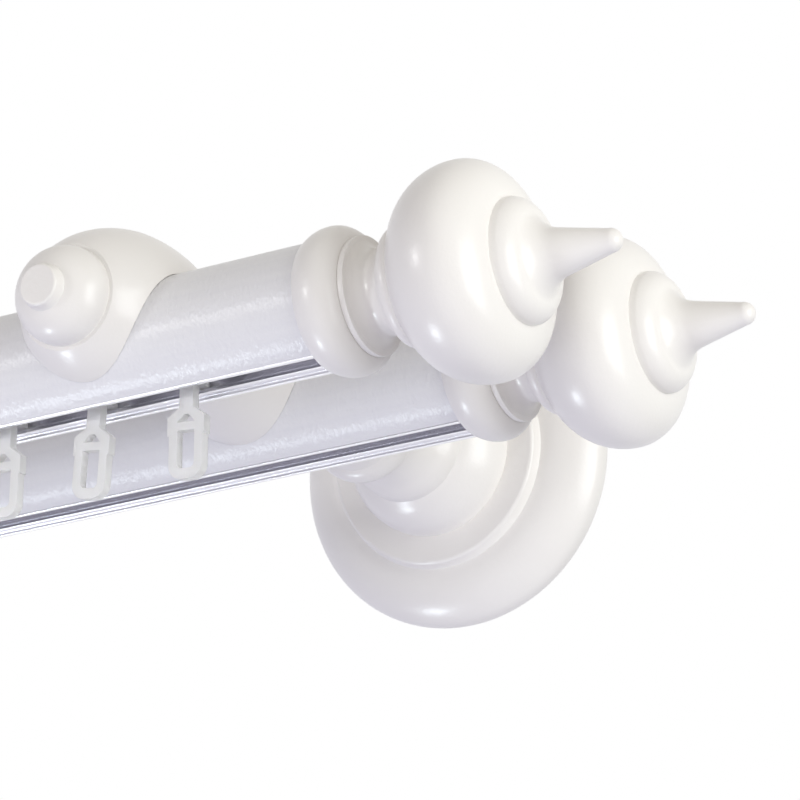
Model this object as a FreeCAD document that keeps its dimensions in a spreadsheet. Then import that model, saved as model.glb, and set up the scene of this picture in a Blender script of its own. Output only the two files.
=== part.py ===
import FreeCAD, Part
import math
import os
import re

import Sketcher
from FreeCAD import Placement, Rotation, Vector

# Double curtain pole: two wooden poles with a curtain track let into the underside of each, carried by two
# turned wall brackets, closed by four turned finials, with plastic gliders in the front track.
# X runs along the poles, +Y points at the wall and +Z up. The origin is on the wall, midway between the
# brackets, at the height of their axes. All sizes are in millimetres.
SIZES = {
    # poles and where they stand
    "pole_diameter": 28.0,
    "pole_length": 1000.0,
    "wall_to_rear_pole": 93.5,
    "pole_spacing": 62.5,
    "pole_drop": 8.3,
    "bracket_inset": 52.5,
    "pole_fit": 0.1,
    # aluminium track let into the underside of a pole
    "track_width": 13.2,
    "track_height": 7.4,
    "track_wall": 1.2,
    "track_proud": 0.3,
    "flange_recess": 0.8,
    "flange_thickness": 1.0,
    "slot_width": 6.0,
    "track_fit": 0.05,
    # finial, lengths in order from the end of the pole and the radius at each of its marks
    "collar_rim_rise": 0.4,
    "collar_back_length": 5.2,
    "collar_radius": 16.2,
    "collar_front_length": 5.0,
    "collar_end_radius": 12.4,
    "lip_radius": 12.9,
    "lip_length": 1.3,
    "cove_depth": 1.2,
    "cove_back_length": 2.9,
    "neck_radius": 9.3,
    "cove_front_length": 4.0,
    "bead_foot_radius": 11.2,
    "bead_back_length": 2.6,
    "bead_radius": 13.4,
    "bead_front_length": 1.1,
    "bulb_seat_radius": 13.1,
    "bulb_back_length": 14.4,
    "bulb_radius": 23.6,
    "bulb_front_length": 9.8,
    "cap_radius": 13.5,
    "cap_step_length": 1.3,
    "cap_round_length": 3.5,
    "cap_waist_radius": 9.0,
    "cap_round_radius": 5.0,
    "cap_cove_length": 5.1,
    "cap_cove_radius": 7.5,
    "spike_root_radius": 5.1,
    "spike_length": 11.0,
    "spike_tip_radius": 2.6,
    # double-ended screw that joins a finial to its pole
    "dowel_screw_radius": 3.0,
    "dowel_screw_length": 44.0,
    "dowel_bore_spare": 1.0,
    "dowel_fit": 0.05,
    # wall rosette, depths measured from the wall
    "rosette_back_radius": 37.8,
    "rosette_rim_depth": 5.8,
    "rosette_radius": 41.0,
    "rosette_shoulder_depth": 8.4,
    "rosette_shoulder_radius": 40.2,
    "rosette_dome_radius": 14.0,
    "rosette_groove_depth": 14.4,
    "rosette_groove_radius": 28.2,
    "rosette_face_radius": 27.6,
    "rosette_face_depth": 17.2,
    "rosette_edge_round": 1.0,
    # bracket arm, lengths in order from the rosette's face towards the room
    "spigot_radius": 9.0,
    "spigot_fit": 0.1,
    "bell_radius": 20.6,
    "bell_foot_length": 1.8,
    "bell_length": 10.5,
    "bell_top_radius": 14.6,
    "bell_round_radius": 14.0,
    "crown_bead_length": 5.0,
    "crown_bead_radius": 12.6,
    "crown_round_radius": 7.0,
    "stem_cove_length": 8.2,
    "stem_cove_radius": 10.4,
    "stem_cove_rise": 4.0,
    "ring_foot_radius": 12.0,
    "ring_half_length": 3.4,
    "ring_radius": 14.2,
    "stem_waist_length": 8.6,
    "stem_waist_radius": 10.6,
    "rear_bead_foot_length": 22.0,
    "rear_bead_foot_radius": 13.0,
    "rear_bead_radius": 17.9,
    "mid_bead_foot_length": 23.0,
    "mid_bead_foot_radius": 14.0,
    "mid_waist_radius": 12.4,
    "front_bead_radius": 19.2,
    "dome_length": 19.2,
    "dome_end_radius": 11.8,
    "crease_depth": 0.9,
    "crease_length": 0.8,
    "nipple_length": 7.6,
    "nipple_neck_radius": 5.2,
    "nipple_round_radius": 7.5,
    "button_length": 2.0,
    "button_radius": 4.7,
    "button_edge_round": 0.6,
    # threaded brass insert in the wall end of the arm
    "insert_radius": 5.5,
    "insert_bore_radius": 3.4,
    "insert_length": 15.0,
    "insert_fit": 0.05,
    # screw down through a bead of the arm into the pole
    "lock_screw_radius": 1.75,
    "lock_screw_length": 24.0,
    "lock_head_radius": 3.5,
    "lock_head_height": 2.2,
    "lock_head_sink": 1.6,
    "lock_fit": 0.1,
    # moulded glider
    "glider_first": 34.7,
    "glider_pitch": 23.5,
    "gliders_per_side": 5,
    "glider_thickness": 2.4,
    "glider_head_width": 9.4,
    "glider_head_length": 5.6,
    "glider_head_height": 2.0,
    "glider_head_round": 1.5,
    "glider_seat_gap": 0.3,
    "glider_neck_width": 3.4,
    "glider_neck_length": 2.8,
    "glider_shoulder_drop": 2.0,
    "glider_width": 9.2,
    "glider_upper_length": 4.0,
    "glider_side_step": 0.4,
    "glider_loop_length": 9.6,
    "glider_corner_round": 3.2,
    "glider_leg": 2.0,
    "glider_sill": 2.3,
    "glider_bar": 1.8,
    "glider_eye_lift": 0.5,
    "glider_eye_length": 1.7,
    "glider_eye_top_width": 1.2,
    "glider_window_round": 1.2,
}

NAMES = re.compile(r"[a-z]+(?:_[a-z]+)+")
FULL_TURN = 360.0
HALF_TURN = 180.0
UPRIGHT = Vector(0, 0, 1)
# How a sketch numbers the points of its lines and arcs, and its own origin
START, END, CENTRE = 1, 2, 3
ORIGIN = (-1, 1)

doc = FreeCAD.newDocument("double_curtain_pole")
sheet = doc.addObject("Spreadsheet::Sheet", "Sizes")
for row, (alias, size) in enumerate(SIZES.items(), start=1):
    sheet.set(f"A{row}", alias)
    sheet.set(f"B{row}", str(size))
    sheet.setAlias(f"B{row}", alias)
doc.recompute()


def tied(expression):
    """The same expression with every size read from the sheet."""
    return NAMES.sub(lambda name: "Sizes." + name.group(), expression)


def value(expression):
    """The number that an expression of sizes gives."""
    return float(sheet.evalExpression(tied(expression)))


def total(*lengths):
    """One expression that adds up lengths."""
    return " + ".join(lengths)


def new_body(label, turned_round=False):
    """An empty body, facing the other way along X and Y if it is turned round."""
    body = doc.addObject("PartDesign::Body", label)
    body.Label = label
    if turned_round:
        body.Placement = Placement(Vector(), Rotation(UPRIGHT, HALF_TURN))
    return body


def put(thing, along="0", across="0", up="0"):
    """Ties the place of a body to expressions of sizes."""
    for axis, expression in zip("xyz", (along, across, up)):
        thing.setExpression(f"Placement.Base.{axis}", tied(expression))


def new_sketch(body, name, role, offset="0"):
    """A sketch on one of the body's own planes, lifted off it by an offset."""
    sketch = body.newObject("Sketcher::SketchObject", name)
    plane = next(feature for feature in body.Origin.OriginFeatures if feature.Role == role)
    sketch.AttachmentSupport = (plane, [""])
    sketch.MapMode = "FlatFace"
    sketch.setExpression("AttachmentOffset.Base.z", tied(offset))
    return sketch


def hold(sketch, kind, points, expression):
    """A dimension of a sketch that follows an expression of sizes."""
    index = sketch.addConstraint(Sketcher.Constraint(kind, *points, value(expression)))
    sketch.setExpression(f"Constraints[{index}]", tied(expression))


def pin(sketch, geometry, place, along, across):
    """Fixes one point of a sketch by its two distances from the origin."""
    hold(sketch, "DistanceX", (*ORIGIN, geometry, place), along)
    hold(sketch, "DistanceY", (*ORIGIN, geometry, place), across)


def arc_centre(start, end, bend):
    """Centre of the arc from start to end: level with one of them, or by a radius to the left or right."""
    if bend == "level at start":
        crest, other = start, end
    elif bend == "level at end":
        crest, other = end, start
    else:
        side, radius = bend
        half = (end - start) / 2
        reach = (value(radius) ** 2 - half.Length ** 2) ** 0.5
        across = Vector(-half.y, half.x, 0).normalize()
        return start + half + across * (reach if side == "left" else -reach)
    gap = other - crest
    return crest + Vector(0, gap.Length ** 2 / (2 * gap.y), 0)


def add_run(sketch, start, end, bend):
    """Draws one straight or bent run and tells which of its own points are its start and its end."""
    if bend is None:
        return sketch.addGeometry(Part.LineSegment(start, end)), START, END
    centre = arc_centre(start, end, bend)
    leftward = (start - centre).cross(end - centre).z > 0
    reach = [point - centre for point in ((start, end) if leftward else (end, start))]
    angles = [math.atan2(spoke.y, spoke.x) for spoke in reach]
    arc = Part.ArcOfCircle(Part.Circle(centre, UPRIGHT, reach[0].Length), *angles)
    run = sketch.addGeometry(arc)
    return (run, START, END) if leftward else (run, END, START)


def outline(sketch, corners):
    """A closed outline of corners (along, across), where a third entry says how the run up to it bends."""
    points = [Vector(value(along), value(across), 0) for along, across, *bend in corners]
    bends = [corner[2] if len(corner) > 2 else None for corner in corners]
    runs = [add_run(sketch, points[index - 1], points[index], bend) for index, bend in enumerate(bends)]
    for (run, start, end), following, corner in zip(runs, runs[1:] + runs[:1], corners):
        sketch.addConstraint(Sketcher.Constraint("Coincident", run, end, *following[:2]))
        pin(sketch, run, end, *corner[:2])
    for (run, start, end), bend in zip(runs, bends):
        if bend == "level at start":
            sketch.addConstraint(Sketcher.Constraint("Vertical", run, CENTRE, run, start))
        elif bend == "level at end":
            sketch.addConstraint(Sketcher.Constraint("Vertical", run, CENTRE, run, end))
        elif bend is not None:
            hold(sketch, "Radius", (run,), bend[1])


def chain(steps):
    """Corners at growing lengths: each step is (advance, radius) and, on an arc, how it bends."""
    corners = []
    gone = []
    for advance, *rest in steps:
        gone.append(advance)
        corners.append((total(*gone), *rest))
    return corners


def turn(body, role, corners):
    """Revolves a closed outline about the horizontal axis of its sketch, as on a lathe."""
    sketch = new_sketch(body, body.Label + "_profile", role)
    outline(sketch, corners)
    revolution = body.newObject("PartDesign::Revolution", body.Label + "_turned")
    revolution.Profile = sketch
    revolution.ReferenceAxis = (sketch, ["H_Axis"])
    revolution.Angle = FULL_TURN
    body.Tip = revolution
    doc.recompute()


def circles(sketch, places, radius):
    """Circles of one radius at the given places."""
    for along, across in places:
        circle = Part.Circle(Vector(value(along), value(across), 0), UPRIGHT, value(radius))
        index = sketch.addGeometry(circle)
        pin(sketch, index, CENTRE, along, across)
        hold(sketch, "Radius", (index,), radius)


def cut(body, sketch, both_ways=False, reverse=False):
    """Cuts a sketch right through the body from its plane and makes sure that it took material away."""
    before = body.Shape.Volume
    pocket = body.newObject("PartDesign::Pocket", sketch.Name + "_cut")
    pocket.Profile = sketch
    pocket.Type = "ThroughAll"
    pocket.Midplane = both_ways
    pocket.Reversed = reverse
    body.Tip = pocket
    doc.recompute()
    if body.Shape.Volume >= before:
        raise ValueError(sketch.Name + " cuts nothing")


def pad(body, sketch, length, both_ways=False):
    """Pads a sketch by a length, up from its plane or half each way."""
    feature = body.newObject("PartDesign::Pad", sketch.Name + "_pad")
    feature.Profile = sketch
    feature.setExpression("Length", tied(length))
    feature.Midplane = both_ways
    body.Tip = feature
    doc.recompute()


# Places that several pieces share
POLE_RADIUS = "pole_diameter / 2"
POLE_END = "pole_length / 2"
FRONT_POLE = "wall_to_rear_pole + pole_spacing"
BRACKET_PLACE = "pole_length / 2 - bracket_inset"
TRACK_BOTTOM = "-(sqrt((pole_diameter / 2)^2 - (track_width / 2)^2) + track_proud)"
TRACK_TOP = TRACK_BOTTOM + " + track_height"
FLANGE_BOTTOM = TRACK_BOTTOM + " + flange_recess"
FLANGE_TOP = FLANGE_BOTTOM + " + flange_thickness"
DOWEL_DEPTH = "dowel_screw_length / 2 + dowel_bore_spare"
DOWEL_BORE = "dowel_screw_radius + dowel_fit"
ROWS = {"front": FRONT_POLE, "rear": "wall_to_rear_pole"}
SIDES = {"right": "", "left": "-"}
BEAD_RADII = {"front": "front_bead_radius", "rear": "rear_bead_radius"}


def pole(row):
    """Turned wooden pole with a blind bore in each end and a milled groove for the track."""
    body = new_body(f"{row}_pole")
    inner = f"{POLE_END} - ({DOWEL_DEPTH})"
    half = [(inner, "0"), (inner, DOWEL_BORE), (POLE_END, DOWEL_BORE), (POLE_END, POLE_RADIUS)]
    other = [(f"-({along})", across) for along, across in reversed(half)]
    turn(body, "XZ_Plane", half + other)
    groove = new_sketch(body, f"{row}_groove", "YZ_Plane")
    side = "track_width / 2 + track_fit"
    roof = TRACK_TOP + " + track_fit"
    floor = "-pole_diameter"
    outline(groove, [(f"-({side})", floor), (side, floor), (side, roof), (f"-({side})", roof)])
    cut(body, groove, both_ways=True)
    pilots = new_sketch(body, f"{row}_pilots", "XY_Plane")
    places = [(sign + f"({BRACKET_PLACE})", "0") for sign in SIDES.values()]
    circles(pilots, places, "lock_screw_radius + lock_fit")
    cut(body, pilots, reverse=True)
    put(body, "0", f"-({ROWS[row]})", "-pole_drop")
    return body


def track(row):
    """Extruded aluminium channel whose two flanges, set up inside its edges, carry the gliders."""
    body = new_body(f"{row}_track")
    section = new_sketch(body, f"{row}_section", "YZ_Plane")
    outer = "track_width / 2"
    inner = "track_width / 2 - track_wall"
    lip = "slot_width / 2"
    ceiling = TRACK_TOP + " - track_wall"
    half = [(outer, TRACK_TOP), (outer, TRACK_BOTTOM), (inner, TRACK_BOTTOM), (inner, FLANGE_BOTTOM),
            (lip, FLANGE_BOTTOM), (lip, FLANGE_TOP), (inner, FLANGE_TOP), (inner, ceiling)]
    other = [(f"-({along})", across) for along, across in reversed(half)]
    outline(section, half + other)
    pad(body, section, "pole_length", both_ways=True)
    put(body, "0", f"-({ROWS[row]})", "-pole_drop")
    return body


def finial(row, side):
    """Turned finial: collar, lip, coved neck, bead, bulb with a stepped cap, and a blunt spike."""
    body = new_body(f"{row}_finial_{side}", turned_round=side == "left")
    marks = chain([
        ("0", DOWEL_BORE),
        ("0", POLE_RADIUS + " + collar_rim_rise"),
        ("collar_back_length", "collar_radius", "level at end"),
        ("collar_front_length", "collar_end_radius", "level at start"),
        ("0", "lip_radius"),
        ("lip_length", "lip_radius"),
        ("0", "lip_radius - cove_depth"),
        ("cove_back_length", "neck_radius", "level at end"),
        ("cove_front_length", "bead_foot_radius", "level at start"),
        ("bead_back_length", "bead_radius", "level at end"),
        ("bead_front_length", "bulb_seat_radius", "level at start"),
        ("bulb_back_length", "bulb_radius", "level at end"),
        ("bulb_front_length", "cap_radius", "level at start"),
        ("cap_step_length", "cap_radius"),
        ("cap_round_length", "cap_waist_radius", ("right", "cap_round_radius")),
        ("cap_cove_length", "spike_root_radius", ("left", "cap_cove_radius")),
        ("spike_length", "spike_tip_radius"),
        ("spike_tip_radius", "0", ("right", "spike_tip_radius")),
    ])
    turn(body, "XZ_Plane", marks + [(DOWEL_DEPTH, "0"), (DOWEL_DEPTH, DOWEL_BORE)])
    put(body, SIDES[side] + f"({POLE_END})", f"-({ROWS[row]})", "-pole_drop")
    return body


def rosette(side):
    """Turned wall rosette: a domed rim, a groove and a flat raised face, bored for the arm's spigot."""
    body = new_body(f"wall_rosette_{side}", turned_round=True)
    bore = "spigot_radius + spigot_fit"
    turn(body, "YZ_Plane", [
        ("0", bore),
        ("0", "rosette_back_radius"),
        ("rosette_rim_depth", "rosette_radius", "level at end"),
        ("rosette_shoulder_depth", "rosette_shoulder_radius", "level at start"),
        ("rosette_groove_depth", "rosette_groove_radius", ("right", "rosette_dome_radius")),
        ("rosette_face_depth - rosette_edge_round", "rosette_face_radius"),
        ("rosette_face_depth", "rosette_face_radius - rosette_edge_round", ("right", "rosette_edge_round")),
        ("rosette_face_depth", bore),
    ])
    put(body, SIDES[side] + f"({BRACKET_PLACE})")
    return body


STEM_TO_RING = total("bell_foot_length", "bell_length", "crown_bead_length", "stem_cove_length",
                     "stem_cove_rise", "ring_half_length", "ring_half_length")
WAIST_TO_BEAD = f"wall_to_rear_pole - rosette_face_depth - ({STEM_TO_RING}) - stem_waist_length"


def arm(side):
    """Turned bracket arm with a cross bore for each pole and a spigot that plugs into the rosette."""
    body = new_body(f"bracket_arm_{side}", turned_round=True)
    socket = "insert_radius + insert_fit"
    marks = chain([
        ("0", socket),
        ("0", "spigot_radius"),
        ("rosette_face_depth", "spigot_radius"),
        ("0", "bell_radius"),
        ("bell_foot_length", "bell_radius"),
        ("bell_length", "bell_top_radius", ("right", "bell_round_radius")),
        ("crown_bead_length", "crown_bead_radius", ("right", "crown_round_radius")),
        ("stem_cove_length", "stem_cove_radius", "level at end"),
        ("stem_cove_rise", "ring_foot_radius", "level at start"),
        ("ring_half_length", "ring_radius", "level at end"),
        ("ring_half_length", "ring_foot_radius", "level at start"),
        ("stem_waist_length", "stem_waist_radius", "level at end"),
        (WAIST_TO_BEAD + " - rear_bead_foot_length", "rear_bead_foot_radius", "level at start"),
        ("rear_bead_foot_length", "rear_bead_radius", "level at end"),
        ("mid_bead_foot_length", "mid_bead_foot_radius", "level at start"),
        ("pole_spacing / 2 - mid_bead_foot_length", "mid_waist_radius", "level at end"),
        ("pole_spacing / 2 - mid_bead_foot_length", "mid_bead_foot_radius", "level at start"),
        ("mid_bead_foot_length", "front_bead_radius", "level at end"),
        ("dome_length", "dome_end_radius", "level at start"),
        ("0", "dome_end_radius - crease_depth"),
        ("crease_length", "dome_end_radius - crease_depth"),
        ("nipple_length", "nipple_neck_radius", ("right", "nipple_round_radius")),
        ("button_length", "button_radius"),
        ("button_edge_round", "button_radius - button_edge_round", ("right", "button_edge_round")),
        ("0", "0"),
    ])
    turn(body, "YZ_Plane", marks + [("insert_length", "0"), ("insert_length", socket)])
    bores = new_sketch(body, f"pole_bores_{side}", "YZ_Plane")
    circles(bores, [(place, "-pole_drop") for place in ROWS.values()], POLE_RADIUS + " + pole_fit")
    cut(body, bores, both_ways=True)
    for row, place in ROWS.items():
        hole = new_sketch(body, f"{row}_lock_hole_{side}", "XY_Plane")
        circles(hole, [("0", place)], "lock_screw_radius + lock_fit")
        cut(body, hole, reverse=True)
        seat = new_sketch(body, f"{row}_lock_seat_{side}", "XY_Plane", lock_seat(row))
        circles(seat, [("0", place)], "lock_head_radius + lock_fit")
        cut(body, seat, reverse=True)
    put(body, SIDES[side] + f"({BRACKET_PLACE})")
    return body


def lock_seat(row):
    """Height at which the head of a locking screw bears on the arm."""
    return f"{BEAD_RADII[row]} - lock_head_sink - lock_head_height"


def gather(label, members):
    """Like fasteners kept together as one node of separate solids."""
    group = doc.addObject("Part::Compound", label)
    group.Label = label
    group.Links = members
    return group


def dowel_screws():
    """Double-ended screws, half in a finial and half in the end of its pole."""
    members = []
    for row, place in ROWS.items():
        for side, sign in SIDES.items():
            rod = doc.addObject("Part::Cylinder", f"dowel_screw_{row}_{side}")
            rod.setExpression("Radius", tied("dowel_screw_radius"))
            rod.setExpression("Height", tied("dowel_screw_length"))
            rod.Placement = Placement(Vector(), Rotation(UPRIGHT, Vector(1, 0, 0)))
            put(rod, sign + f"({POLE_END}) - dowel_screw_length / 2", f"-({place})", "-pole_drop")
            members.append(rod)
    return gather("finial_dowel_screws", members)


def inserts():
    """Brass inserts in the wall ends of the arms, tapped for the bolts that stand out of the wall."""
    members = []
    for side, sign in SIDES.items():
        body = new_body(f"insert_{side}", turned_round=True)
        turn(body, "YZ_Plane", [("0", "insert_bore_radius"), ("0", "insert_radius"),
                                ("insert_length", "insert_radius"), ("insert_length", "insert_bore_radius")])
        put(body, sign + f"({BRACKET_PLACE})")
        members.append(body)
    return gather("threaded_inserts", members)


def lock_screws():
    """Pan-head screws that go down through the beads into the poles and stop them sliding or turning."""
    members = []
    for row, place in ROWS.items():
        for side, sign in SIDES.items():
            body = new_body(f"lock_screw_{row}_{side}")
            head = new_sketch(body, f"lock_head_{row}_{side}", "XY_Plane")
            circles(head, [("0", "0")], "lock_head_radius")
            pad(body, head, "lock_head_height")
            length = "lock_screw_length - lock_head_height"
            shank = new_sketch(body, f"lock_shank_{row}_{side}", "XY_Plane", f"-({length})")
            circles(shank, [("0", "0")], "lock_screw_radius")
            pad(body, shank, length)
            put(body, sign + f"({BRACKET_PLACE})", f"-({place})", lock_seat(row))
            members.append(body)
    return gather("pole_locking_screws", members)


def glider(side, number):
    """Moulded glider: a flat head that runs on the flanges, a neck through the slot and a hook's loop."""
    body = new_body(f"glider_{side}_{number}", turned_round=side == "left")
    head_bottom = FLANGE_TOP + " + glider_seat_gap"
    shoulder = TRACK_BOTTOM + " - glider_neck_length"
    upper_top = shoulder + " - glider_shoulder_drop"
    upper_bottom = upper_top + " - glider_upper_length"
    bottom = upper_bottom + " - glider_loop_length"
    corner_top = bottom + " + glider_corner_round"
    neck = "glider_neck_width / 2"
    wide = "glider_width / 2"
    narrow = "glider_width / 2 - glider_side_step"
    foot = narrow + " - glider_corner_round"
    loop = new_sketch(body, f"loop_{side}_{number}", "XZ_Plane")
    outline(loop, [
        (f"-({neck})", head_bottom), (neck, head_bottom), (neck, shoulder), (wide, upper_top),
        (wide, upper_bottom), (narrow, upper_bottom), (narrow, corner_top),
        (foot, bottom, ("right", "glider_corner_round")), (f"-({foot})", bottom),
        (f"-({narrow})", corner_top, ("right", "glider_corner_round")), (f"-({narrow})", upper_bottom),
        (f"-({wide})", upper_bottom), (f"-({wide})", upper_top), (f"-({neck})", shoulder),
    ])
    pad(body, loop, "glider_thickness", both_ways=True)
    eye_side = narrow + " - glider_leg"
    eye_top = upper_top + " + glider_eye_lift"
    eye_bottom = eye_top + " - glider_eye_length"
    eye_crown = "glider_eye_top_width / 2"
    window_top = eye_bottom + " - glider_bar"
    window_bottom = bottom + " + glider_sill"
    window_corner = window_bottom + " + glider_window_round"
    window_foot = eye_side + " - glider_window_round"
    rounded = ("left", "glider_window_round")
    eyes = new_sketch(body, f"eyes_{side}_{number}", "XZ_Plane")
    outline(eyes, [(f"-({eye_side})", eye_bottom), (eye_side, eye_bottom), (eye_crown, eye_top),
                   (f"-({eye_crown})", eye_top)])
    outline(eyes, [(f"-({eye_side})", window_top), (f"-({eye_side})", window_corner),
                   (f"-({window_foot})", window_bottom, rounded), (window_foot, window_bottom),
                   (eye_side, window_corner, rounded), (eye_side, window_top)])
    cut(body, eyes, both_ways=True)
    head = new_sketch(body, f"head_{side}_{number}", "XY_Plane", head_bottom)
    end = "glider_head_length / 2"
    flank = "glider_head_width / 2"
    end_inner = end + " - glider_head_round"
    flank_inner = flank + " - glider_head_round"
    rounded = ("left", "glider_head_round")
    outline(head, [
        (end_inner, f"-({flank})"), (end, f"-({flank_inner})", rounded),
        (end, flank_inner), (end_inner, flank, rounded),
        (f"-({end_inner})", flank), (f"-({end})", flank_inner, rounded),
        (f"-({end})", f"-({flank_inner})"), (f"-({end_inner})", f"-({flank})", rounded),
    ])
    pad(body, head, "glider_head_height")
    reach = f"{POLE_END} - glider_first - {number - 1} * glider_pitch"
    put(body, SIDES[side] + f"({reach})", f"-({FRONT_POLE})", "-pole_drop")
    return body


pieces = [make(row) for row in ROWS for make in (pole, track)]
pieces += [finial(row, side) for row in ROWS for side in SIDES]
pieces += [make(side) for side in SIDES for make in (rosette, arm)]
pieces += [dowel_screws(), inserts(), lock_screws()]
pieces += [glider(side, number + 1) for side in SIDES for number in range(int(value("gliders_per_side")))]
doc.recompute()

for thing in doc.Objects:
    if {"Invalid", "Error"} & set(thing.State):
        raise ValueError(f"{thing.Label} failed: {thing.State}")
for piece in pieces:
    if piece.Shape.isNull() or not piece.Shape.isValid():
        raise ValueError(f"{piece.Label} has no valid shape")
os.makedirs("parts", exist_ok=True)
for piece in pieces:
    piece.Shape.exportStep(f"parts/{piece.Label}.step")
    print(f"{piece.Label}: {len(piece.Shape.Solids)} solids, {piece.Shape.Volume / 1000:.2f} cm3")
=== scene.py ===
import math

import bmesh
import bpy
from mathutils import Matrix, Vector


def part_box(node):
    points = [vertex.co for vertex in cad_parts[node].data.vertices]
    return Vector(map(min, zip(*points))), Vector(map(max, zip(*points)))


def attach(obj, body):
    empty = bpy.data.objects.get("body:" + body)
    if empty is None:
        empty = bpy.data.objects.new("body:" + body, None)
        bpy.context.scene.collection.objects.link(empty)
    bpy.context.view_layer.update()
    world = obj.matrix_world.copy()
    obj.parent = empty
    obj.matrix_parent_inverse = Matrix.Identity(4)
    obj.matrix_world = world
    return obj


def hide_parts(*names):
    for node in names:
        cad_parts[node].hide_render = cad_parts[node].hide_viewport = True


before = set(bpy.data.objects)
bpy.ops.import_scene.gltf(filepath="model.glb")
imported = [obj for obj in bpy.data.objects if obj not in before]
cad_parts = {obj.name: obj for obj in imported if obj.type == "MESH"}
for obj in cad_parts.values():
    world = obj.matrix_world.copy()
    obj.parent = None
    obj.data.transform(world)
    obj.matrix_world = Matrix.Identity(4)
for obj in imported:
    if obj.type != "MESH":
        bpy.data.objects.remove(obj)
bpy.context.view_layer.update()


# Wall rosettes: two discs of beech turned on a lathe, with a domed rim, a groove and a raised face.
# They are sealed, sprayed with white lacquer and rubbed down, and each one is clamped to the wall by
# the arm that plugs into it.
MM = 0.001
SIDES = ("right", "left")
ROSETTE_EDGE_MM = 0.4
TURNED_WHITE = "#f0eeea"
TURNED_SHADE = "#ebe8e4"
TURNED_ROUGHNESS = 0.28
LACQUER_IOR = 1.5
CLOUD_MM = 22.0
PEEL_MM = 1.3
PEEL_HEIGHT_MM = 0.045
SEAM_MM = 0.001
EDGE_STEPS = 3
SHARP_DEGREES = 28
MIX_FIRST, MIX_SECOND, MIX_COLOUR = 6, 7, 2  # the colour sockets of a Mix node, which share names


def linear(hex_colour):
    """Scene-linear colour of an sRGB hex value."""
    channels = [int(hex_colour[i:i + 2], 16) / 255 for i in (1, 3, 5)]
    return [c / 12.92 if c <= 0.04045 else ((c + 0.055) / 1.055) ** 2.4 for c in channels] + [1.0]


def add_node(tree, kind, settings=None, links=None, **sockets):
    """Adds one node with its settings, its socket values and its links from other nodes' outputs."""
    node = tree.nodes.new(kind)
    for name, setting in (settings or {}).items():
        setattr(node, name, setting)
    for name, value in sockets.items():
        node.inputs[name.replace("_", " ")].default_value = value
    for name, output in (links or {}).items():
        tree.links.new(output, node.inputs[name])
    return node


def new_material(name):
    """An empty node material, its node tree, and the place of a point in the object's frame."""
    material = bpy.data.materials.new(name)
    material.use_nodes = True
    tree = material.node_tree
    tree.nodes.clear()
    place = add_node(tree, "ShaderNodeTexCoord").outputs["Object"]
    return material, tree, place


def soften(piece, edge_mm, flat=False):
    """Rounds the sharp edges of a piece with a real bevel, as sanding and lacquer do.

    On a piece with long flat faces, flat keeps their shading even, which the bevel would tilt.
    """
    weld = piece.modifiers.new("closed_seams", "WELD")
    weld.merge_threshold = SEAM_MM * MM
    bevel = piece.modifiers.new("soft_edges", "BEVEL")
    bevel.width = edge_mm * MM
    bevel.segments = EDGE_STEPS
    bevel.limit_method = "ANGLE"
    bevel.angle_limit = math.radians(SHARP_DEGREES)
    if flat:
        piece.modifiers.new("even_faces", "WEIGHTED_NORMAL")


def dress(names, material, edge_mm=None, flat=False):
    """Gives CAD nodes a material in place of the plain one that they came with, and soft edges."""
    for name in names:
        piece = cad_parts[name]
        piece.data.materials.clear()
        piece.data.materials.append(material)
        if edge_mm:
            soften(piece, edge_mm, flat)


# Sprayed lacquer on turned beech gives a warm white with blurred highlights, a faint orange-peel
# surface, and slow changes of tone where the coat is thicker.
turned_lacquer, tree, place = new_material("white_lacquer_on_turned_beech")
cloud = add_node(tree, "ShaderNodeTexNoise", links={"Vector": place},
                 Scale=1 / (CLOUD_MM * MM), Detail=3.0)
tone = add_node(tree, "ShaderNodeMix", {"data_type": "RGBA"}, {"Factor": cloud.outputs["Fac"]})
tone.inputs[MIX_FIRST].default_value = linear(TURNED_WHITE)
tone.inputs[MIX_SECOND].default_value = linear(TURNED_SHADE)
peel = add_node(tree, "ShaderNodeTexNoise", links={"Vector": place},
                Scale=1 / (PEEL_MM * MM), Detail=2.0)
bump = add_node(tree, "ShaderNodeBump", links={"Height": peel.outputs["Fac"]},
                Strength=1.0, Distance=PEEL_HEIGHT_MM * MM)
lacquer = add_node(tree, "ShaderNodeBsdfPrincipled",
                   links={"Base Color": tone.outputs[MIX_COLOUR], "Normal": bump.outputs[0]},
                   Roughness=TURNED_ROUGHNESS, IOR=LACQUER_IOR)
add_node(tree, "ShaderNodeOutputMaterial", links={"Surface": lacquer.outputs[0]})

dress([f"wall_rosette_{side}" for side in SIDES], turned_lacquer, ROSETTE_EDGE_MM)


# Bracket arms: each is one piece of beech turned to beads, coves and a knob, then bored across twice
# so that the poles lie in open saddles. They have the same lacquer as the rosettes, and a brass insert
# in the wall end takes the bolt that stands out of the wall.
ARM_EDGE_MM = 0.3
BRASS = "#c9a35a"
BRASS_ROUGHNESS = (0.25, 0.4)
TOOL_MARK_MM = 0.4

dress([f"bracket_arm_{side}" for side in SIDES], turned_lacquer, ARM_EDGE_MM)

# Turned brass gives a warm yellow shine that the marks of the tool make uneven. Real marks are finer
# than this, and are drawn coarser so that they show.
brass, tree, place = new_material("turned_brass")
marks = add_node(tree, "ShaderNodeTexNoise", links={"Vector": place},
                 Scale=1 / (TOOL_MARK_MM * MM), Detail=2.0)
dull = add_node(tree, "ShaderNodeMapRange", links={"Value": marks.outputs["Fac"]},
                To_Min=BRASS_ROUGHNESS[0], To_Max=BRASS_ROUGHNESS[1])
metal = add_node(tree, "ShaderNodeBsdfPrincipled", links={"Roughness": dull.outputs[0]},
                 Base_Color=linear(BRASS), Metallic=1.0)
add_node(tree, "ShaderNodeOutputMaterial", links={"Surface": metal.outputs[0]})

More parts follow.
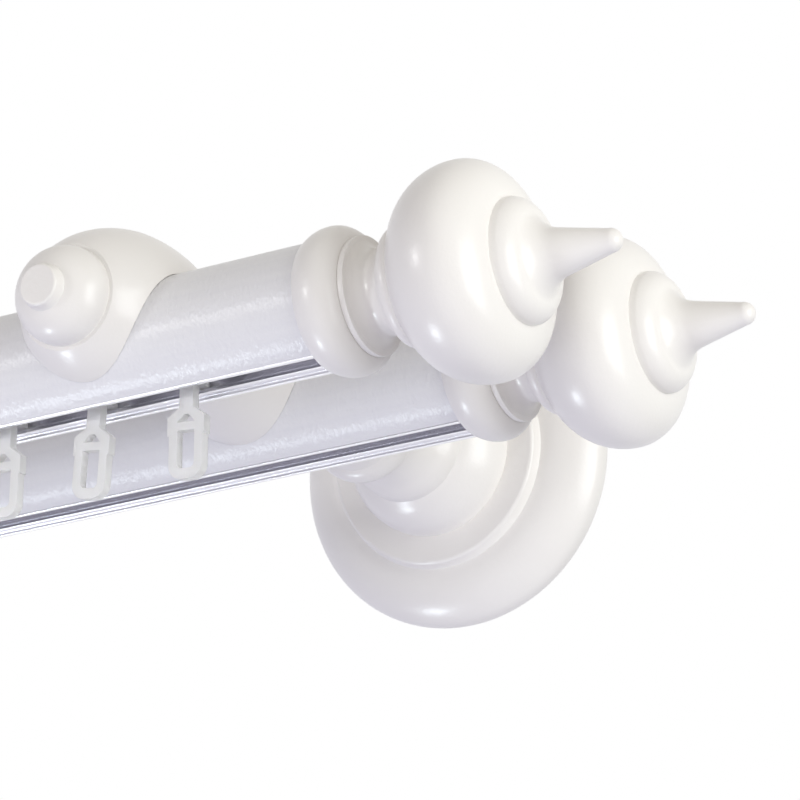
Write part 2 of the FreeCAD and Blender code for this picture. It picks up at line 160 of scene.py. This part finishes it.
dress(["threaded_inserts"], brass)


# Poles: straight dowels of beech with a groove milled along the underside for the track. They are
# lacquered in a cooler white than the turned pieces, over the rings that the dowel mill leaves, and
# the screws on top of the arms lock them in the saddles.
ROWS = ("front", "rear")
POLE_EDGE_MM = 0.3
POLE_WHITE = "#ebebec"
POLE_SHADE = "#e4e4e7"
POLE_ROUGHNESS = 0.3
POLE_STREAK = 0.8
POLE_STREAK_TURN = 0.25
GRAIN_MM = 1.4
GRAIN_STRETCH = 0.06
STROKE_MM = 0.7
STROKE_STRETCH = 0.5
STROKE_HEIGHT_MM = 0.18

# Lacquer on a milled dowel gives faint lines of grain along the pole, and a gloss that the mill's
# rings stretch into streaks of short strokes. Real rings are lower and finer, and are drawn coarser
# so that they show.
pole_lacquer, tree, place = new_material("white_lacquer_on_beech_dowel")
along = add_node(tree, "ShaderNodeMapping", links={"Vector": place}, Scale=(GRAIN_STRETCH, 1.0, 1.0))
grain = add_node(tree, "ShaderNodeTexNoise", links={"Vector": along.outputs[0]},
                 Scale=1 / (GRAIN_MM * MM), Detail=4.0)
tone = add_node(tree, "ShaderNodeMix", {"data_type": "RGBA"}, {"Factor": grain.outputs["Fac"]})
tone.inputs[MIX_FIRST].default_value = linear(POLE_WHITE)
tone.inputs[MIX_SECOND].default_value = linear(POLE_SHADE)
around = add_node(tree, "ShaderNodeMapping", links={"Vector": place},
                  Scale=(1.0, STROKE_STRETCH, STROKE_STRETCH))
strokes = add_node(tree, "ShaderNodeTexNoise", links={"Vector": around.outputs[0]},
                   Scale=1 / (STROKE_MM * MM), Detail=2.0)
bump = add_node(tree, "ShaderNodeBump", links={"Height": strokes.outputs["Fac"]},
                Distance=STROKE_HEIGHT_MM * MM)
turned = add_node(tree, "ShaderNodeTangent", {"direction_type": "RADIAL", "axis": "X"})
lacquer = add_node(tree, "ShaderNodeBsdfPrincipled",
                   links={"Base Color": tone.outputs[MIX_COLOUR], "Normal": bump.outputs[0],
                          "Tangent": turned.outputs[0]},
                   Roughness=POLE_ROUGHNESS, IOR=LACQUER_IOR,
                   Anisotropic=POLE_STREAK, Anisotropic_Rotation=POLE_STREAK_TURN)
add_node(tree, "ShaderNodeOutputMaterial", links={"Surface": lacquer.outputs[0]})

dress([f"{row}_pole" for row in ROWS], pole_lacquer, POLE_EDGE_MM, flat=True)


# Tracks: aluminium channel with an open slot below, drawn through a die and left bright.
# One is pressed into the groove under each pole.
TRACK_EDGE_MM = 0.2
TRACK_METAL = "#e3e2e9"
TRACK_ROUGHNESS = (0.2, 0.3)
DIE_LINE_MM = 0.25
DIE_LINE_STRETCH = 0.0006
DIE_LINE_HEIGHT_MM = 0.02
DIE_LINE_STRENGTH = 0.05

# Bright drawn aluminium gives clear reflections, cut by straight lines along the whole length. Real
# die lines are too fine to show, and are drawn coarser.
track_metal, tree, place = new_material("bright_drawn_aluminium")
along = add_node(tree, "ShaderNodeMapping", links={"Vector": place},
                 Scale=(DIE_LINE_STRETCH, 1.0, 1.0))
lines = add_node(tree, "ShaderNodeTexNoise", links={"Vector": along.outputs[0]},
                 Scale=1 / (DIE_LINE_MM * MM), Detail=2.0)
dull = add_node(tree, "ShaderNodeMapRange", links={"Value": lines.outputs["Fac"]},
                To_Min=TRACK_ROUGHNESS[0], To_Max=TRACK_ROUGHNESS[1])
bump = add_node(tree, "ShaderNodeBump", links={"Height": lines.outputs["Fac"]},
                Strength=DIE_LINE_STRENGTH, Distance=DIE_LINE_HEIGHT_MM * MM)
metal = add_node(tree, "ShaderNodeBsdfPrincipled",
                 links={"Roughness": dull.outputs[0], "Normal": bump.outputs[0]},
                 Base_Color=linear(TRACK_METAL), Metallic=1.0)
add_node(tree, "ShaderNodeOutputMaterial", links={"Surface": metal.outputs[0]})

dress([f"{row}_track" for row in ROWS], track_metal, TRACK_EDGE_MM, flat=True)


# Locking screws and finial screws: cold-headed steel with rolled threads, zinc plated. The locking
# screws have pan heads with a cross recess and go down through the arms into the poles, and the
# double-ended ones hold the finials on the poles.
ZINC = "#b9bcc0"
ZINC_ROUGHNESS = (0.22, 0.38)
MOTTLE_MM = 0.8
SCREW_EDGE_MM = 0.12
HEAD_R, HEAD_TALL = 3.5, 2.2
HEAD_CROWN = ((2.7, 0.1), (3.2, 0.4), (HEAD_R, 0.9), (HEAD_R, HEAD_TALL))  # radius, drop from the top
SHANK_R, ROOT_R, TIP_R = 1.75, 1.3, 0.3
THREAD_PITCH, PLAIN_SHANK, TIP_TALL = 0.9, 8.0, 2.0
CROSS_REACH, CROSS_HALF, CROSS_DEPTH, CROSS_TAPER = 2.1, 0.5, 1.1, 0.7
ROUND_STEPS = 48

# Bright zinc plating gives a cool grey shine, a little uneven from place to place.
zinc_steel, tree, place = new_material("zinc_plated_steel")
mottle = add_node(tree, "ShaderNodeTexNoise", links={"Vector": place},
                  Scale=1 / (MOTTLE_MM * MM), Detail=2.0)
dull = add_node(tree, "ShaderNodeMapRange", links={"Value": mottle.outputs["Fac"]},
                To_Min=ZINC_ROUGHNESS[0], To_Max=ZINC_ROUGHNESS[1])
metal = add_node(tree, "ShaderNodeBsdfPrincipled", links={"Roughness": dull.outputs[0]},
                 Base_Color=linear(ZINC), Metallic=1.0)
add_node(tree, "ShaderNodeOutputMaterial", links={"Surface": metal.outputs[0]})

dress(["finial_dowel_screws"], zinc_steel)

# The locking screws are turned from this profile, with the thread as rings, and the cross recess is
# cut into the crown of the head.
low, high = (Vector(corner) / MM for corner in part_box("pole_locking_screws"))
profile = [(radius, high.z - drop) for radius, drop in HEAD_CROWN]
profile.append((SHANK_R, high.z - HEAD_TALL))
level = high.z - HEAD_TALL - PLAIN_SHANK
while level > low.z + TIP_TALL:
    profile += [(SHANK_R, level), (ROOT_R, level - THREAD_PITCH / 2)]
    level -= THREAD_PITCH
profile.append((TIP_R, low.z))
reach, half = CROSS_REACH, CROSS_HALF
cross = [(half, half), (half, reach), (-half, reach), (-half, half), (-reach, half), (-reach, -half),
         (-half, -half), (-half, -reach), (half, -reach), (half, -half), (reach, -half), (reach, half)]
angles = [math.tau * step / ROUND_STEPS for step in range(ROUND_STEPS)]
steel = bmesh.new()
for x in (low.x + HEAD_R, high.x - HEAD_R):
    for y in (low.y + HEAD_R, high.y - HEAD_R):
        rings = []
        for radius, z in profile:
            ring = [Vector((x + radius * math.cos(a), y + radius * math.sin(a), z)) for a in angles]
            rings.append([steel.verts.new(point * MM) for point in ring])
        for upper, lower in zip(rings, rings[1:]):
            for i in range(ROUND_STEPS):
                steel.faces.new((upper[i - 1], lower[i - 1], lower[i], upper[i]))
        steel.faces.new(rings[-1])
        rim = [steel.verts.new(Vector((x + u, y + v, high.z)) * MM) for u, v in cross]
        pit = [Vector((x + u * CROSS_TAPER, y + v * CROSS_TAPER, high.z - CROSS_DEPTH)) for u, v in cross]
        foot = [steel.verts.new(point * MM) for point in pit]
        crown = [steel.edges.new((rim[i - 1], rim[i])) for i in range(len(rim))]
        crown += [steel.edges.get((rings[0][i - 1], rings[0][i])) for i in range(ROUND_STEPS)]
        bmesh.ops.triangle_fill(steel, edges=crown, use_beauty=True, normal=(0, 0, 1))
        for i in range(len(rim)):
            steel.faces.new((rim[i - 1], rim[i], foot[i], foot[i - 1]))
        steel.faces.new(foot)
bmesh.ops.recalc_face_normals(steel, faces=steel.faces)
for face in steel.faces:
    face.smooth = True
screw_mesh = bpy.data.meshes.new("pan_head_locking_screws")
steel.to_mesh(screw_mesh)
steel.free()
screw_mesh.materials.append(zinc_steel)
screws = bpy.data.objects.new("pan_head_locking_screws", screw_mesh)
bpy.context.scene.collection.objects.link(screws)
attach(screws, "curtain_pole")
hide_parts("pole_locking_screws")
soften(screws, SCREW_EDGE_MM, flat=True)


# Finials: each is turned from beech in one piece, from the collar that meets the pole to the blunt
# spike, and lacquered like the brackets. A double-ended screw holds it on the pole.
FINIAL_EDGE_MM = 0.35

dress([f"{row}_finial_{side}" for row in ROWS for side in SIDES], turned_lacquer, FINIAL_EDGE_MM)


# Gliders: one moulding each of milky polyethylene, with a flat head inside the track, a neck through
# the slot and a loop with an eye for the curtain hook. The head lies flat on the track, and the rest
# hangs a few degrees askew from the root of the neck, as in the photo.
GLIDER_EDGE_MM = 0.35
GLIDER_LEANS = (4.1, 7.8, 5.6, 3.0, 6.4)
HEAD_MM = 2.0
HEAD_SLACK_MM = 0.01
GLIDER_MILK = "#f6f6f5"
GLIDER_ROUGHNESS = (0.32, 0.42)
GLIDER_IOR = 1.5
GLIDER_CLEARNESS = 0.55
GLIDER_SCATTER = 0.4
SCATTER_MM = 2.0
SCATTER_SPREAD = (1.0, 1.0, 1.05)
FLOW_MM = 3.0

# Polyethylene moulded this thin gives a milky body that lets light in and spreads it, and a waxy
# gloss that changes a little with the flow of the plastic.
glider_plastic, tree, place = new_material("moulded_milky_polyethylene")
flow = add_node(tree, "ShaderNodeTexNoise", links={"Vector": place},
                Scale=1 / (FLOW_MM * MM), Detail=2.0)
dull = add_node(tree, "ShaderNodeMapRange", links={"Value": flow.outputs["Fac"]},
                To_Min=GLIDER_ROUGHNESS[0], To_Max=GLIDER_ROUGHNESS[1])
milk = add_node(tree, "ShaderNodeBsdfPrincipled", links={"Roughness": dull.outputs[0]},
                Base_Color=linear(GLIDER_MILK), IOR=GLIDER_IOR,
                Transmission_Weight=GLIDER_CLEARNESS, Subsurface_Weight=GLIDER_SCATTER,
                Subsurface_Radius=SCATTER_SPREAD, Subsurface_Scale=SCATTER_MM * MM)
add_node(tree, "ShaderNodeOutputMaterial", links={"Surface": milk.outputs[0]})

for name in [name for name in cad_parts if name.startswith("glider_")]:
    side, number = name.split("_")[1:]
    low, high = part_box(name)
    root = Vector(((low[0] + high[0]) / 2, (low[1] + high[1]) / 2, high[2] - HEAD_MM * MM))
    lean = Matrix.Rotation(math.radians(GLIDER_LEANS[int(number) - 1]), 3, "Y")
    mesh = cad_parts[name].data.copy()
    for vertex in mesh.vertices:
        if vertex.co.z < root.z - HEAD_SLACK_MM * MM:
            vertex.co = root + lean @ (vertex.co - root)
    mesh.materials.clear()
    mesh.materials.append(glider_plastic)
    piece = bpy.data.objects.new(f"{name}_moulding", mesh)
    bpy.context.scene.collection.objects.link(piece)
    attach(piece, f"{side}_glider_{number}")
    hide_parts(name)
    soften(piece, GLIDER_EDGE_MM, flat=True)


# Studio: white surroundings and a pale floor well below the poles. Soft light comes from all sides,
# most of it from the front, the right and low on the left. One large lamp on the right models the
# finials, and two small ones on the left make the highlights on the lacquer.
STUDIO_WHITE = "#ffffff"
GLOWS = {
    # the side that the soft light comes from, its strength and its colour
    "front": ((0.1, -1.0, -0.4), 0.78, "#ffffff"),
    "front_right": ((1.0, -1.0, 0.0), 0.4, "#fffaf8"),
    "low_left": ((-0.9, -0.1, -1.0), 0.52, "#d6c6ff"),
    "high_right": ((0.7, -0.3, 0.7), 0.12, "#fff5e8"),
    "above": ((0.1, 0.3, 1.0), 0.44, "#fff4e6"),
    "back": ((0.0, 1.0, 0.1), 0.7, "#ffffff"),
}
FLOOR_DROP = 1.3
FLOOR_SIZE = 12.0
FLOOR_GREY = "#f2f2f3"
FLOOR_GLOW = 0.8
LAMP_AIM = Vector((0.5, -0.12, 0.0))
LAMP_DISTANCE = 1.3
LAMPS = {
    # azimuth and elevation in degrees, size in metres, power in watts, colour
    "right_lamp": (80.0, -4.0, 0.9, 12.0, "#fcffff"),
    "low_left_lamp": (-73.0, -49.0, 0.16, 3.3, "#eefaff"),
    "left_lamp": (-38.0, 7.0, 0.15, 2.2, "#ffffff"),
}

scene = bpy.context.scene
scene.view_settings.view_transform = "Standard"

world = bpy.data.worlds.new("white_studio")
scene.world = world
world.use_nodes = True
tree = world.node_tree
tree.nodes.clear()
way = add_node(tree, "ShaderNodeTexCoord").outputs["Generated"]
soft_light = None
for side, strength, colour in GLOWS.values():
    toward = add_node(tree, "ShaderNodeVectorMath", {"operation": "DOT_PRODUCT"}, {0: way})
    toward.inputs[1].default_value = Vector(side).normalized()
    facing = add_node(tree, "ShaderNodeMapRange", links={"Value": toward.outputs["Value"]},
                      To_Max=strength ** 0.5)
    lobe = add_node(tree, "ShaderNodeMath", {"operation": "MULTIPLY"},
                    {0: facing.outputs[0], 1: facing.outputs[0]})
    glow = add_node(tree, "ShaderNodeBackground", links={"Strength": lobe.outputs[0]},
                    Color=linear(colour)).outputs[0]
    if soft_light:
        glow = add_node(tree, "ShaderNodeAddShader", links={0: soft_light, 1: glow}).outputs[0]
    soft_light = glow
ray = add_node(tree, "ShaderNodeLightPath")
seen = add_node(tree, "ShaderNodeMath", {"operation": "MAXIMUM"},
                {0: ray.outputs["Is Camera Ray"], 1: ray.outputs["Is Glossy Ray"]})
seen = add_node(tree, "ShaderNodeMath", {"operation": "MAXIMUM"},
                {0: seen.outputs[0], 1: ray.outputs["Is Transmission Ray"]})
white = add_node(tree, "ShaderNodeBackground", Color=linear(STUDIO_WHITE), Strength=1.0)
either = add_node(tree, "ShaderNodeMixShader",
                  links={0: seen.outputs[0], 1: soft_light, 2: white.outputs[0]})
add_node(tree, "ShaderNodeOutputWorld", links={"Surface": either.outputs[0]})

# Pale floor paint, which mirrored rays see as white, and which is clear from below so that the
# camera under the poles looks through it.
floor_paint, tree, place = new_material("pale_floor_paint")
ray = add_node(tree, "ShaderNodeLightPath")
mirrored = add_node(tree, "ShaderNodeMath", {"operation": "MAXIMUM"},
                    {0: ray.outputs["Is Glossy Ray"], 1: ray.outputs["Is Transmission Ray"]})
bright = add_node(tree, "ShaderNodeMath", {"operation": "MAXIMUM"}, {0: mirrored.outputs[0]})
bright.inputs[1].default_value = FLOOR_GLOW
paint = add_node(tree, "ShaderNodeBsdfDiffuse", Color=linear(FLOOR_GREY))
glow = add_node(tree, "ShaderNodeEmission", Color=linear(STUDIO_WHITE), Strength=1.0)
seen = add_node(tree, "ShaderNodeMixShader",
                links={0: bright.outputs[0], 1: paint.outputs[0], 2: glow.outputs[0]})
clear = add_node(tree, "ShaderNodeBsdfTransparent")
under = add_node(tree, "ShaderNodeNewGeometry").outputs["Backfacing"]
faces_up = add_node(tree, "ShaderNodeMixShader",
                    links={0: under, 1: seen.outputs[0], 2: clear.outputs[0]})
add_node(tree, "ShaderNodeOutputMaterial", links={"Surface": faces_up.outputs[0]})

edge = FLOOR_SIZE / 2
floor_mesh = bpy.data.meshes.new("floor")
floor_mesh.from_pydata([(-edge, -edge, 0), (edge, -edge, 0), (edge, edge, 0), (-edge, edge, 0)],
                       [], [(0, 1, 2, 3)])
floor_mesh.materials.append(floor_paint)
floor = bpy.data.objects.new("floor", floor_mesh)
floor.location.z = -FLOOR_DROP
floor.visible_diffuse = False
floor.visible_shadow = False
scene.collection.objects.link(floor)


def bearing(azimuth, elevation):
    """The direction at an azimuth and an elevation in degrees, counted from straight in front."""
    turn, tilt = math.radians(azimuth), math.radians(elevation)
    return Vector((math.sin(turn) * math.cos(tilt), -math.cos(turn) * math.cos(tilt), math.sin(tilt)))


for name, (azimuth, elevation, size, power, colour) in LAMPS.items():
    lamp = bpy.data.lights.new(name, "AREA")
    lamp.size = size
    lamp.energy = power
    lamp.color = linear(colour)[:3]
    holder = bpy.data.objects.new(name, lamp)
    away = bearing(azimuth, elevation)
    holder.location = LAMP_AIM + away * LAMP_DISTANCE
    holder.rotation_euler = away.to_track_quat("Z", "Y").to_euler()
    scene.collection.objects.link(holder)


# Camera: a long lens below the poles and to the right of them, looking up at the right-hand end. Its
# place, turn and lens were fitted to the outlines in the photo.
IMAGE_PX = 800
SENSOR_MM = 36.0
FOCAL_PX = 4332.4
CAMERA_PLACE = Vector((0.93268, -0.90618, -0.28738))
CAMERA_AZIMUTH = 29.032
CAMERA_ELEVATION = -16.573
CAMERA_ROLL = -3.315

camera_data = bpy.data.cameras.new("camera")
camera_data.sensor_width = SENSOR_MM
camera_data.lens = FOCAL_PX * SENSOR_MM / IMAGE_PX
camera = bpy.data.objects.new("camera", camera_data)
back = bearing(CAMERA_AZIMUTH, CAMERA_ELEVATION)
right = (-back).cross(Vector((0, 0, 1))).normalized()
up = right.cross(-back)
roll = math.radians(CAMERA_ROLL)
across = right * math.cos(roll) + up * math.sin(roll)
upward = up * math.cos(roll) - right * math.sin(roll)
turned_frame = Matrix((across, upward, back)).transposed().to_4x4()
camera.matrix_world = Matrix.Translation(CAMERA_PLACE) @ turned_frame
scene.collection.objects.link(camera)
scene.camera = camera
